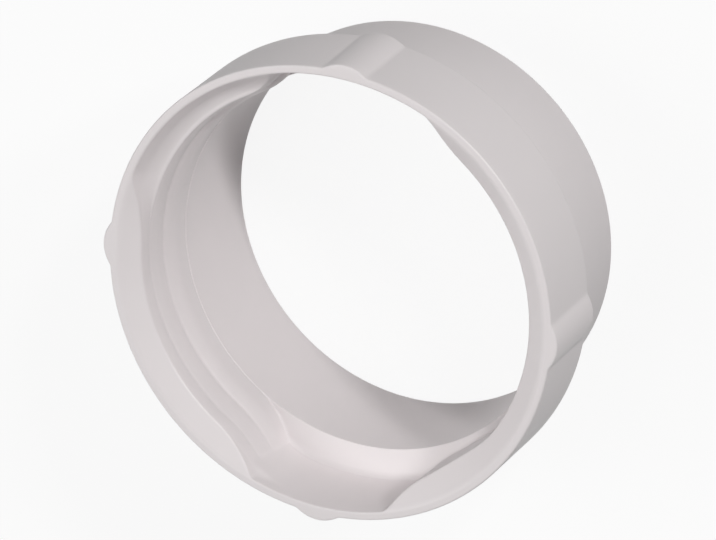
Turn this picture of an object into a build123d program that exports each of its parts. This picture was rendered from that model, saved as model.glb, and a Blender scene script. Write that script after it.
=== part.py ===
"""Dryer vent hose adapter: one moulded stepped sleeve that stands on its hose end.

The axis is +Z through the origin. The narrow spigot that goes into the hose is at the
bottom and the wide socket that goes over the outlet collar is at the top. Depths are
measured down from the socket rim. Angles run from +X, where one of the lugs sits.
"""
import os

from build123d import *

# overall sizes, mm
LENGTH = 53.7            # hose rim to socket rim
SOCKET_R = 58.0          # outside of the wide socket
SOCKET_WALL = 2.0
SPIGOT_R = 50.6          # outside of the spigot, for a 4 inch hose
SPIGOT_WALL = 1.7
SOCKET_LENGTH = 22.5     # socket rim to the outside edge of the step

# step between the two diameters
STEP_SLOPE = 2.2         # how far the step runs back on its way in
STEP_COVE = 2.0          # rounding inside, wall to shelf
STEP_EDGE = 0.7          # bevel of the outside edge
STEP_ROOT = 1.2          # rounding outside, step to spigot
RIM_EDGE = 0.4           # bevel of the free rims

# two pads inside the socket, built up in three layers that close in with depth
NEAR_PAD = (-72.6, 72.6)     # angles at which the pads end at the wall
FAR_PAD = (108.3, 245.0)
NEAR_RAMPS = (14.0, 17.0)    # angles of the rounded ramps in which their first layers end
FAR_RAMPS = (12.5, 14.0)
RAMP_STEP = 1.5              # how much steeper each layer behind it ends
FIRST_STEP = 5.0         # how far the first layer, which guides the collar, stands in from the wall
SECOND_STEP = 0.5        # how much further in the second layer stands
THIRD_STEP = 0.55        # and the third
SECOND_DEPTH = 6.4       # depth at which the second layer starts
THIRD_DEPTH = 13.3
LEAD_IN = 3.2            # depth of the cone that guides the collar in
RELIEF_ANGLE = 51.4      # stretch of the near pad without its first layer
RELIEF_RAMP = 22.0       # the long ramp from there to the first layer
RELIEF_LEDGE = 2.4       # width of the ledge that shows there

# four lugs outside
LUG_COUNT = 4
LUG_WIDTH = 12.0
LUG_HEIGHT = 1.7
LUG_END = 1.3            # bevel of the back end

# derived sizes
SOCKET_IN = SOCKET_R - SOCKET_WALL
BORE_R = SPIGOT_R - SPIGOT_WALL
LAND_R = SOCKET_IN - FIRST_STEP
SECOND_R = LAND_R - SECOND_STEP
THIRD_R = SECOND_R - THIRD_STEP
ROOT_R = SOCKET_R - SOCKET_WALL / 2
EDGE_Z = LENGTH - SOCKET_LENGTH
SHELF_Z = EDGE_Z - STEP_SLOPE + SPIGOT_WALL
SHELF_SLOPE = STEP_SLOPE / (SOCKET_R - SPIGOT_R)
SHELF_TOP_Z = SHELF_Z + SHELF_SLOPE * (SOCKET_IN - BORE_R)
SINK = SPIGOT_WALL / 2   # how far the pads reach into the step under them
SECOND_Z = LENGTH - SECOND_DEPTH
THIRD_Z = LENGTH - THIRD_DEPTH
RELIEF_END = NEAR_PAD[0] + RELIEF_ANGLE


def at(radius, angle):
    """Point in plan at a radius and an angle in degrees."""
    return Vector(radius, 0).rotate(Axis.Z, angle)


def spun(*points):
    """Solid turned round the axis from a profile of (radius, height) points."""
    outline = Polyline(*points, close=True)
    return revolve(Plane.XZ * make_face(outline), Axis.Z)


def shell():
    """Stepped tube with the inside of the step coved and the free edges bevelled."""
    outline = Polyline(
        (BORE_R, 0), (SPIGOT_R, 0), (SPIGOT_R, EDGE_Z - STEP_SLOPE), (SOCKET_R, EDGE_Z),
        (SOCKET_R, LENGTH), (SOCKET_IN, LENGTH), (SOCKET_IN, SHELF_TOP_Z), (BORE_R, SHELF_Z), close=True)
    profile = make_face(outline)
    for radius, height, rounding in (
            (SPIGOT_R, EDGE_Z - STEP_SLOPE, STEP_ROOT), (SOCKET_IN, SHELF_TOP_Z, STEP_COVE)):
        profile = fillet(profile.vertices().sort_by_distance((radius, height))[0], rounding)
    for radius, height, bevel in (
            (SPIGOT_R, 0, RIM_EDGE), (BORE_R, 0, RIM_EDGE), (SOCKET_R, LENGTH, RIM_EDGE),
            (SOCKET_R, EDGE_Z, STEP_EDGE)):
        profile = chamfer(profile.vertices().sort_by_distance((radius, height))[0], bevel)
    return revolve(Plane.XZ * profile, Axis.Z)


def socket_room():
    """Space inside the socket that the pads may fill, down to a floor sunk into the step."""
    floor = SHELF_Z - SINK
    return spun((0, floor), (BORE_R, floor), (ROOT_R, floor + SHELF_SLOPE * (ROOT_R - BORE_R)),
                (ROOT_R, LENGTH), (0, LENGTH))


def pad_plan(inner, start, end, near_angle, far_angle):
    """Plan of a layer from angle to angle, with a rounded ramp of its own angle at each end."""
    middle = (start + end) / 2
    first, last = at(inner, start + near_angle), at(inner, end - far_angle)
    land = ThreePointArc(first, at(inner, (start + near_angle + end - far_angle) / 2), last)
    root = ThreePointArc(at(ROOT_R, end), at(ROOT_R, middle), at(ROOT_R, start))
    far_ramp = TangentArc(last, at(ROOT_R, end), tangent=land % 1)
    near_ramp = TangentArc(first, at(ROOT_R, start), tangent=-(land % 0))
    return make_face([land, far_ramp, root, near_ramp])


def layer(plan, low, high):
    """Plan raised from one height to another."""
    return extrude(Pos(0, 0, low) * plan, high - low)


def lower_layers(ends, ramps):
    """Second and third layer of a pad, each with steeper ramps than the one before."""
    second_ramps = [ramp - RAMP_STEP for ramp in ramps]
    third_ramps = [ramp - 2 * RAMP_STEP for ramp in ramps]
    second = layer(pad_plan(SECOND_R, *ends, *second_ramps), THIRD_Z, SECOND_Z)
    third = layer(pad_plan(THIRD_R, *ends, *third_ramps), SHELF_Z - SINK, THIRD_Z)
    return (second + third) & socket_room()


def first_layer(ends, ramps):
    """First layer of a pad with its cone towards the rim."""
    block = layer(pad_plan(LAND_R, *ends, *ramps), SECOND_Z, LENGTH)
    reach = SOCKET_IN - LAND_R
    cone = spun((SOCKET_IN, LENGTH), (LAND_R - reach, LENGTH - 2 * LEAD_IN), (LAND_R - reach, LENGTH))
    return block - cone


def relief_slope():
    """Slope from the rim to the ledge of the second layer, where the first layer is left away."""
    ring = spun((SOCKET_IN, LENGTH), (SECOND_R + RELIEF_LEDGE, SECOND_Z), (ROOT_R, SECOND_Z), (ROOT_R, LENGTH))
    ends = NEAR_PAD[0], RELIEF_END + RELIEF_RAMP
    return ring & layer(pad_plan(SECOND_R, *ends, NEAR_RAMPS[0] - RAMP_STEP, RELIEF_RAMP), SECOND_Z, LENGTH)


def lug():
    """Rounded rib along the outside of the socket, at angle zero."""
    foot = (SOCKET_R**2 - (LUG_WIDTH / 2) ** 2) ** 0.5
    crest = ThreePointArc((foot, -LUG_WIDTH / 2), (SOCKET_R + LUG_HEIGHT, 0), (foot, LUG_WIDTH / 2))
    back = Polyline((foot, LUG_WIDTH / 2), (ROOT_R, LUG_WIDTH / 2), (ROOT_R, -LUG_WIDTH / 2),
                    (foot, -LUG_WIDTH / 2))
    rib = layer(make_face([crest, back]), EDGE_Z, LENGTH)
    end = rib.faces().sort_by(Axis.Z)[0].edges().filter_by(GeomType.CIRCLE)
    return chamfer(end, LUG_END)


def adapter():
    """The whole moulding."""
    body = shell() + lower_layers(NEAR_PAD, NEAR_RAMPS) + lower_layers(FAR_PAD, FAR_RAMPS) + relief_slope()
    body += first_layer((RELIEF_END, NEAR_PAD[1]), (RELIEF_RAMP, NEAR_RAMPS[1]))
    body += first_layer(FAR_PAD, FAR_RAMPS)
    body += [Rot(0, 0, 360 / LUG_COUNT * k) * lug() for k in range(LUG_COUNT)]
    return body


if __name__ == "__main__":
    part = adapter()
    part.label = "adapter_body"
    os.makedirs("parts", exist_ok=True)
    export_step(part, "parts/adapter_body.step")
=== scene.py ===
"""Dryer vent hose adapter: the moulding as one fine surface, its white plastic, the studio and the camera."""

import bpy
import numpy as np
from mathutils import Matrix, Vector


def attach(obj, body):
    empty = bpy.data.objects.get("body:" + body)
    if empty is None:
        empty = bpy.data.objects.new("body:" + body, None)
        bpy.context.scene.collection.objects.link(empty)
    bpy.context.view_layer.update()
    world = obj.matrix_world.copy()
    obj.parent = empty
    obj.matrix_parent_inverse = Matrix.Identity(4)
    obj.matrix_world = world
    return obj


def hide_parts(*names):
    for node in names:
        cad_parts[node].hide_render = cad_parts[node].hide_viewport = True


# sizes of the moulding, mm, as in the solid; depths run down from the socket rim
LENGTH = 53.7
SOCKET_R, SOCKET_IN = 58.0, 56.0
SPIGOT_R, BORE_R = 50.6, 48.9
EDGE_DEPTH, STEP_SLOPE = 22.5, 2.2
LAND_R, LEAD_IN, SECOND_DEPTH = 51.0, 3.2, 6.4
LUG_HEIGHT, LUG_END = 1.7, 1.3
SHELF_DEPTH = EDGE_DEPTH + STEP_SLOPE - (SPIGOT_R - BORE_R)
SHELF_SLOPE = STEP_SLOPE / (SOCKET_R - SPIGOT_R)
EDGE_Z = LENGTH - EDGE_DEPTH

# angles, degrees: the two pads and their ramps, where the first layer starts after the relief, and the lugs
NEAR_PAD, NEAR_RAMPS = (-72.6, 72.6), (14.0, 17.0)
FAR_PAD, FAR_RAMPS = (108.3, 245.0), (12.5, 14.0)
RELIEF_END, RELIEF_RAMP = -19.5, 20.0
LUGS, LUG_FOOT = (0.0, 90.0, 179.6, 268.2), 5.6

# the ramps reach the middle of the wall and go on a few degrees inside it
ROOT_R, BEYOND_R, RAMP_OVERRUN = 57.0, 59.5, 4.0

# softness of the moulded edges, mm
RIM_ROUND, STEP_COVE, CREASE = 0.45, 0.5, 0.12
ROOT_BLEND, EDGE_BLEND = 2.4, 3.6
RELIEF_LEDGE, RELIEF_COVE = 52.9, 3.0

# flat fillet at the ends of the near pad: radius and angle before the pad's end at which it starts, rise per
# degree, how far it is cut back at the rim and down to which depth, and its blend into the wall
FILLET_R, FILLET_ANGLE, FILLET_SLOPE = 54.0, 5.0, 0.22
FILLET_CUT, FILLET_CUT_DEPTH, FILLET_BLEND = 2.0, 5.0, 0.8

# layers of the near pad: depth at which each starts, its height, how far it closes in, and how much deeper it
# starts at one end of the pad, where the layers have slipped over a stretch of angles
THIRD_DEPTH = 12.5
LAYERS = ((LEAD_IN, 4.2, 0.65, 0.0), (SECOND_DEPTH, 6.1, 1.25, 1.15), (THIRD_DEPTH, 6.8, 2.03, 1.15))
SLIP_FROM, SLIP_SPAN = -15.0, 60.0
UNDERCUT = 0.1

# far pad, and near one end of it a swell: the middle and half of its angle, and how far it stands in
FAR_LAND_R, FAR_UNDERCUT = 50.8, 0.05
SWELL_AT, SWELL_HALF, SWELL = 131.0, 17.0, 1.1

# the thin wall over one gap leans in a little towards the rim
LEAN, LEAN_AT, LEAN_WIDTH = 0.7, -92.0, 35.0

ANGLES = 576

# camera: it looks down at the socket, turned about its own axis as the photograph was
VIEW_AZIMUTH, VIEW_ELEVATION, VIEW_ROLL = -132.645, 56.507, 129.446
VIEW_TARGET = (0.0030, 0.0036, 0.0295)
VIEW_DISTANCE = 1.4455
IMAGE_WIDTH, FOCAL_PIXELS, SENSOR = 716, 6000.0, 36.0

# lamps: azimuth and elevation in degrees, size in m and power in W, all at one distance
LAMP_DISTANCE = 1.5
LAMPS = {
    "key_box": (-127, 35, 0.15, 6.9),
    "second_key": (-142, 30.5, 0.15, 6.9),
    "side_box": (-5, 54, 0.6, 4.6),
    "top_box": (0, 76, 0.5, 2.9),
    "far_box": (60, 54, 0.5, 1.4),
    "low_box": (36, 12, 0.8, 5.6),
    "back_box": (92, 12, 0.5, 2.4),
}
WORLD_STRENGTH = 0.02

# floor: what it throws back, what the eye sees in it, how much of that is glow, and half its width in m
FLOOR_BOUNCE, FLOOR_WHITE, FLOOR_GLOW, FLOOR_HALF = 0.25, 0.85, 0.9, 3.0


def smooth_min(a, b, width):
    """Smaller of two arrays, with the crease rounded over about the given width."""
    gap = np.abs(a - b)
    return np.minimum(a, b) - np.maximum(width - gap, 0) ** 2 / (4 * width)


def smooth_max(a, b, width):
    """Larger of two arrays, with the crease rounded over about the given width."""
    return -smooth_min(-a, -b, width)


def ease(t):
    """Smooth rise from 0 to 1 while t goes from 0 to 1."""
    t = np.clip(t, 0, 1)
    return t * t * (3 - 2 * t)


def bow(t):
    """Part of a cubic: rises from 0 and flattens out at 1."""
    return 1 - (1 - np.clip(t, 0, 1)) ** 3


def nose(t):
    """Quarter of an ellipse: rises steeply from 0 and flattens out at 1."""
    return np.sqrt(1 - (1 - np.clip(t, 0, 1)) ** 2)


def turn(angle):
    """Angle in degrees brought into -180 to 180."""
    return (angle + 180) % 360 - 180


def pad_plan(angle, inner, ends, ramps):
    """Plan radius of a pad: the inner circle, then at each end an arc that leaves it tangentially.

    The arc's centre lies on the ray where the ramp begins, its radius further out than the inner
    circle, and the arc reaches the middle of the wall after the ramp's angle. A ray at an angle t
    past the ramp's start meets it at c cos t - sqrt(a^2 - c^2 sin^2 t).
    """
    middle, reach = (ends[0] + ends[1]) / 2, (ends[1] - ends[0]) / 2
    side = turn(angle - middle)
    ramp = np.where(side < 0, ramps[0], ramps[1])
    t = np.radians(np.clip(np.abs(side) - reach + ramp, 0, ramp + RAMP_OVERRUN))
    cosine = np.cos(np.radians(ramp))
    arc = (ROOT_R**2 + inner**2 - 2 * ROOT_R * inner * cosine) / (2 * (ROOT_R * cosine - inner))
    centre = inner + arc
    curve = centre * np.cos(t) - np.sqrt(np.maximum(arc**2 - (centre * np.sin(t)) ** 2, 0))
    return np.minimum(curve, BEYOND_R)


def rooted_plan(angle, inner, ends, ramps):
    """Plan radius of a pad whose ends blend into the socket wall."""
    return smooth_min(pad_plan(angle, inner, ends, ramps), SOCKET_IN, ROOT_BLEND)


def step_wall(depth):
    """Inner radius without pads: straight wall, cove, sloped shelf, bore."""
    slope = np.arctan(SHELF_SLOPE)
    run = SOCKET_IN - BORE_R - STEP_COVE * (1 - np.sin(slope))
    cove = STEP_COVE * np.cos(slope)
    start = SHELF_DEPTH - SHELF_SLOPE * run - cove
    fall = np.clip(depth - start, 0, cove)
    curved = SOCKET_IN - STEP_COVE + np.sqrt(STEP_COVE**2 - fall**2)
    shelf = BORE_R + (SHELF_DEPTH - depth) / SHELF_SLOPE
    return smooth_max(np.where(depth < start + cove, curved, shelf), BORE_R, 2 * CREASE)


def relief_wall(depth):
    """Inner radius where the first layer is left away: a slope from the rim that runs out into the ledge."""
    slope = SOCKET_IN - (SOCKET_IN - RELIEF_LEDGE) * depth / SECOND_DEPTH
    fall = np.clip((depth - SECOND_DEPTH + RELIEF_COVE) / RELIEF_COVE, 0, 1)
    return LAND_R + (slope - LAND_R) * np.sqrt(1 - fall**2)


def near_pad(angle, depth):
    """Inner radius of the layered pad.

    It closes in by a bow in each layer, so that a layer starts tilted towards the rim and ends slightly
    undercut. The lower layers start deeper towards one end of the pad, as the turns of a thread do. A
    flat fillet, a few degrees long, leads from the ends of the ramps to the wall.
    """
    slipped = np.clip((turn(angle) - SLIP_FROM) / SLIP_SPAN, 0, 1)
    inner = LAND_R + UNDERCUT * np.maximum(depth - LEAD_IN, 0)
    for start, height, closing, slip in LAYERS:
        inner = inner - closing * bow((depth - start - slip * slipped) / height)
    past = np.maximum(np.abs(turn(angle)) - NEAR_PAD[1] + FILLET_ANGLE, 0)
    fillet = FILLET_R + FILLET_SLOPE * past + FILLET_CUT * (1 - ease(depth / FILLET_CUT_DEPTH))
    fillet = smooth_min(fillet, SOCKET_IN, FILLET_BLEND)
    return smooth_min(pad_plan(angle, inner, NEAR_PAD, NEAR_RAMPS), fillet, 3 * CREASE)


def far_pad(angle, depth):
    """Inner radius of the plain pad: nearly upright, with a bell-shaped swell near one end."""
    swell = SWELL * np.maximum(1 - (turn(angle - SWELL_AT) / SWELL_HALF) ** 2, 0) ** 2
    return rooted_plan(angle, FAR_LAND_R - swell + FAR_UNDERCUT * depth, FAR_PAD, FAR_RAMPS)


def socket_inside(angle, depth):
    """Inner radius at an angle and a depth: the least of the wall and the two pads.

    At the rim a cone cuts the pads back. In the relief the radius goes from the near pad to the relief's
    wall by the share that the long ramp there has risen from the land to the socket wall.
    """
    near = near_pad(angle, depth)
    ramp = rooted_plan(angle, LAND_R, (RELIEF_END, NEAR_PAD[1]), (RELIEF_RAMP, NEAR_RAMPS[1]))
    share = np.where(turn(angle - RELIEF_END) < RELIEF_RAMP, (ramp - LAND_R) / (SOCKET_IN - LAND_R), 0)
    relieved = near + share * (smooth_max(near, relief_wall(depth), 4 * CREASE) - near)
    near = np.where(depth < SECOND_DEPTH, relieved, near)
    cone = SOCKET_IN - (SOCKET_IN - LAND_R) * depth / LEAD_IN
    pads = smooth_max(np.minimum(near, far_pad(angle, depth)), cone, CREASE)
    return smooth_min(pads, step_wall(depth), 2 * CREASE)


def lug_height(angle):
    """How far the lugs stand out: each is an arc that meets the wall at its two feet."""
    off = np.min([np.abs(turn(angle - at)) for at in LUGS], axis=0)
    return smooth_max(LUG_HEIGHT * (1 - (off / LUG_FOOT) ** 2), 0, CREASE)


def outside(angle, height):
    """Outer radius at an angle and a height: spigot, sloped step, socket with its lugs."""
    slope = SPIGOT_R + (height - EDGE_Z + STEP_SLOPE) / SHELF_SLOPE
    sleeve = smooth_min(smooth_max(SPIGOT_R, slope, 8 * CREASE), SOCKET_R, EDGE_BLEND)
    return sleeve + lug_height(angle) * nose((height - EDGE_Z) / LUG_END)


def lean(angle, height):
    """How far the wall leans in: a bell over the angle that grows from the step to the rim."""
    bell = np.exp(-((turn(angle - LEAN_AT) / LEAN_WIDTH) ** 2))
    return LEAN * bell * ease((height - EDGE_Z) / EDGE_DEPTH)


def rim_fall(distance):
    """Fall of a rounded rim at a distance from its face, a quarter circle."""
    return RIM_ROUND - np.sqrt(RIM_ROUND**2 - np.clip(RIM_ROUND - distance, 0, RIM_ROUND) ** 2)


def stations(marks, counts):
    """Positions along the section: evenly spaced from each mark to the next, so many in each stretch."""
    return np.concatenate([
        np.linspace(low, high, count, endpoint=False) for low, high, count in zip(marks, marks[1:], counts)])


def curl(length, count):
    """Positions that crowd towards 0, spaced evenly round a quarter circle of the given radius."""
    return length * (1 - np.cos(np.linspace(0, np.pi / 2, count)))


def moulding():
    """Whole skin as a closed grid, angle by place along the section.

    The section runs up the outside, over the socket rim, down the inside and under the hose rim. Its
    rows are close together where the form bends: at the rims, the step, the lugs' ends and the layers.
    """
    rim = curl(RIM_ROUND, 6)
    heights = np.concatenate([
        rim, stations((1.0, EDGE_Z - 4, EDGE_Z - 1.2, EDGE_Z - 0.5, EDGE_Z), (8, 10, 4, 6)),
        EDGE_Z + curl(LUG_END, 8), stations((EDGE_Z + 1.8, LENGTH - 1.0), (10,)), LENGTH - rim[::-1]])
    lower = (SECOND_DEPTH + 0.2, SECOND_DEPTH + 2, THIRD_DEPTH - 0.1, THIRD_DEPTH + 2.1,
             SHELF_DEPTH - 1.6, SHELF_DEPTH - 0.4, SHELF_DEPTH + 0.4, LENGTH - 1.0)
    depths = np.concatenate([
        rim, stations((0.6, SECOND_DEPTH - 1.4), (18,)), SECOND_DEPTH - curl(1.4, 10)[::-1],
        stations(lower, (6, 6, 7, 11, 5, 10, 10)), LENGTH - rim[::-1]])
    angle = np.arange(ANGLES)[:, None] * 360 / ANGLES
    outer = outside(angle, heights) - rim_fall(heights) - rim_fall(LENGTH - heights) - lean(angle, heights)
    inner = (socket_inside(angle, depths) + rim_fall(depths) + rim_fall(LENGTH - depths)
             - lean(angle, LENGTH - depths))
    across = np.array([0.25, 0.5, 0.75])
    top = outer[:, -1:] + (inner[:, :1] - outer[:, -1:]) * across
    foot = inner[:, -1:] + (outer[:, :1] - inner[:, -1:]) * across
    radius = np.concatenate([outer, top, inner, foot], axis=1)
    level = np.concatenate([heights, np.full(3, LENGTH), LENGTH - depths, np.zeros(3)])
    turned = np.radians(angle)
    height = np.broadcast_to(level, radius.shape)
    return np.stack([radius * np.cos(turned), radius * np.sin(turned), height], -1)


def grid_mesh(name, points):
    """Mesh of a grid that closes on itself both ways, with smooth faces that point outwards."""
    rows, columns = points.shape[:2]
    index = np.arange(rows * columns).reshape(rows, columns)
    right, up = np.roll(index, -1, axis=0), np.roll(index, -1, axis=1)
    quads = np.stack([index, right, np.roll(right, -1, axis=1), up], -1).reshape(-1, 4)
    mesh = bpy.data.meshes.new(name)
    mesh.from_pydata(points.reshape(-1, 3) * 0.001, [], quads)
    mesh.polygons.foreach_set("use_smooth", np.ones(len(quads), dtype=bool))
    mesh.update()
    piece = bpy.data.objects.new(name, mesh)
    bpy.context.scene.collection.objects.link(piece)
    return piece


class Value:
    """Output of a shader node; arithmetic on it adds Math nodes."""

    def __init__(self, shader, socket):
        self.shader, self.socket = shader, socket

    def math(self, operation, first, second):
        return self.shader.add("ShaderNodeMath", {"operation": operation}, {0: first, 1: second})["Value"]

    def __add__(self, other):
        return self.math("ADD", self, other)

    def __sub__(self, other):
        return self.math("SUBTRACT", self, other)

    def __rsub__(self, other):
        return self.math("SUBTRACT", other, self)

    def __mul__(self, other):
        return self.math("MULTIPLY", self, other)

    __radd__, __rmul__ = __add__, __mul__


class Shader:
    """A node material; add() makes any node, sets it up and links it."""

    def __init__(self, name):
        self.material = bpy.data.materials.new(name)
        self.material.use_nodes = True
        self.tree = self.material.node_tree
        self.tree.nodes.clear()

    def add(self, kind, settings=None, inputs=None):
        node = self.tree.nodes.new(kind)
        for key, value in (settings or {}).items():
            setattr(node, key, value)
        for key, value in (inputs or {}).items():
            if isinstance(value, Value):
                self.tree.links.new(value.socket, node.inputs[key])
            else:
                node.inputs[key].default_value = value
        return {output.name: Value(self, output) for output in node.outputs if output.enabled}

    def surface(self, value):
        self.add("ShaderNodeOutputMaterial", inputs={"Surface": value})
        return self.material


def white_plastic():
    """Off-white moulded plastic: faint clouding of the colour, satin gloss, a very fine grain."""
    shader = Shader("white_plastic")
    deep, pale = (0.87, 0.82, 0.824, 1), (0.90, 0.85, 0.854, 1)
    place = shader.add("ShaderNodeTexCoord")["Object"]
    cloud = shader.add("ShaderNodeTexNoise", inputs={"Vector": place, "Scale": 45.0, "Detail": 3.0})["Fac"]
    grain = shader.add("ShaderNodeTexNoise", inputs={"Vector": place, "Scale": 2600.0, "Detail": 2.0})["Fac"]
    colour = shader.add("ShaderNodeMix", {"data_type": "RGBA"}, {0: cloud, 6: deep, 7: pale})["Result"]
    bump = shader.add("ShaderNodeBump", inputs={
        "Height": grain, "Strength": 0.05, "Distance": 0.0002})["Normal"]
    body = shader.add("ShaderNodeBsdfPrincipled", inputs={
        "Base Color": colour, "Roughness": 0.38 + 0.1 * cloud, "Normal": bump, "IOR": 1.49})["BSDF"]
    return shader.surface(body)


def pale_floor():
    """White floor with a soft shadow; it throws back less light than the eye sees in it."""
    shader = Shader("pale_floor")
    path = shader.add("ShaderNodeLightPath")
    seen = path["Is Camera Ray"] + path["Is Glossy Ray"] + path["Is Transmission Ray"]
    matt = shader.add("ShaderNodeBsdfDiffuse", inputs={
        "Color": FLOOR_BOUNCE + (FLOOR_WHITE - FLOOR_BOUNCE) * seen})["BSDF"]
    glow = shader.add("ShaderNodeEmission", inputs={"Color": (1, 1, 1, 1), "Strength": 1.0})["Emission"]
    both = shader.add("ShaderNodeMixShader", inputs={0: seen * FLOOR_GLOW, 1: matt, 2: glow})["Shader"]
    return shader.surface(both)


def floor():
    """Wide flat floor that the hose rim stands on."""
    near, far = -FLOOR_HALF, FLOOR_HALF
    mesh = bpy.data.meshes.new("floor")
    mesh.from_pydata([(near, near, 0), (far, near, 0), (far, far, 0), (near, far, 0)], [], [(0, 1, 2, 3)])
    mesh.materials.append(pale_floor())
    plane = bpy.data.objects.new("floor", mesh)
    bpy.context.scene.collection.objects.link(plane)


def heading(azimuth, elevation):
    """Unit vector towards an azimuth and an elevation in degrees."""
    flat = np.radians(azimuth)
    rise = np.radians(elevation)
    return Vector((np.cos(rise) * np.cos(flat), np.cos(rise) * np.sin(flat), np.sin(rise)))


def camera():
    """Long lens at the photograph's angle, rolled about its line of sight."""
    back = heading(VIEW_AZIMUTH, VIEW_ELEVATION)
    level = Vector((0, 0, 1)).cross(back).normalized()
    rise = back.cross(level)
    roll = np.radians(VIEW_ROLL)
    up = rise * np.cos(roll) + level * np.sin(roll)
    right = level * np.cos(roll) - rise * np.sin(roll)
    data = bpy.data.cameras.new("camera")
    data.sensor_width = SENSOR
    data.lens = FOCAL_PIXELS / IMAGE_WIDTH * SENSOR
    eye = bpy.data.objects.new("camera", data)
    place = Vector(VIEW_TARGET) + back * VIEW_DISTANCE
    eye.matrix_world = Matrix.Translation(place) @ Matrix((right, up, back)).transposed().to_4x4()
    bpy.context.scene.collection.objects.link(eye)
    bpy.context.scene.camera = eye


def lamp(name, azimuth, elevation, size, power):
    """Square soft box that faces the adapter."""
    data = bpy.data.lights.new(name, "AREA")
    data.shape, data.size, data.energy = "SQUARE", size, power
    box = bpy.data.objects.new(name, data)
    towards = heading(azimuth, elevation)
    box.location = towards * LAMP_DISTANCE
    box.rotation_euler = towards.to_track_quat("Z", "Y").to_euler()
    bpy.context.scene.collection.objects.link(box)


def studio():
    """Two small keys from below the camera, boxes above and to the side, and low ones from the far side."""
    for name, setting in LAMPS.items():
        lamp(name, *setting)
    world = bpy.data.worlds.new("studio")
    world.use_nodes = True
    world.node_tree.nodes["Background"].inputs["Color"].default_value = (1, 1, 1, 1)
    world.node_tree.nodes["Background"].inputs["Strength"].default_value = WORLD_STRENGTH
    bpy.context.scene.world = world
    bpy.context.scene.view_settings.view_transform = "Standard"


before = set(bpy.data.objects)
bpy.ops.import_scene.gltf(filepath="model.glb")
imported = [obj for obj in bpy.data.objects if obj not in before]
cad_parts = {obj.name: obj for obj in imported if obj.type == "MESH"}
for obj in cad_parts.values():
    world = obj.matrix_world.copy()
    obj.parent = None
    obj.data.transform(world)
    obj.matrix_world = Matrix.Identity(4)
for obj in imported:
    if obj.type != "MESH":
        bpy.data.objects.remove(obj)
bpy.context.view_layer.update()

body = grid_mesh("adapter_skin", moulding())
body.data.materials.append(white_plastic())
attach(body, "root")
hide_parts("adapter_body")

floor()
studio()
camera()
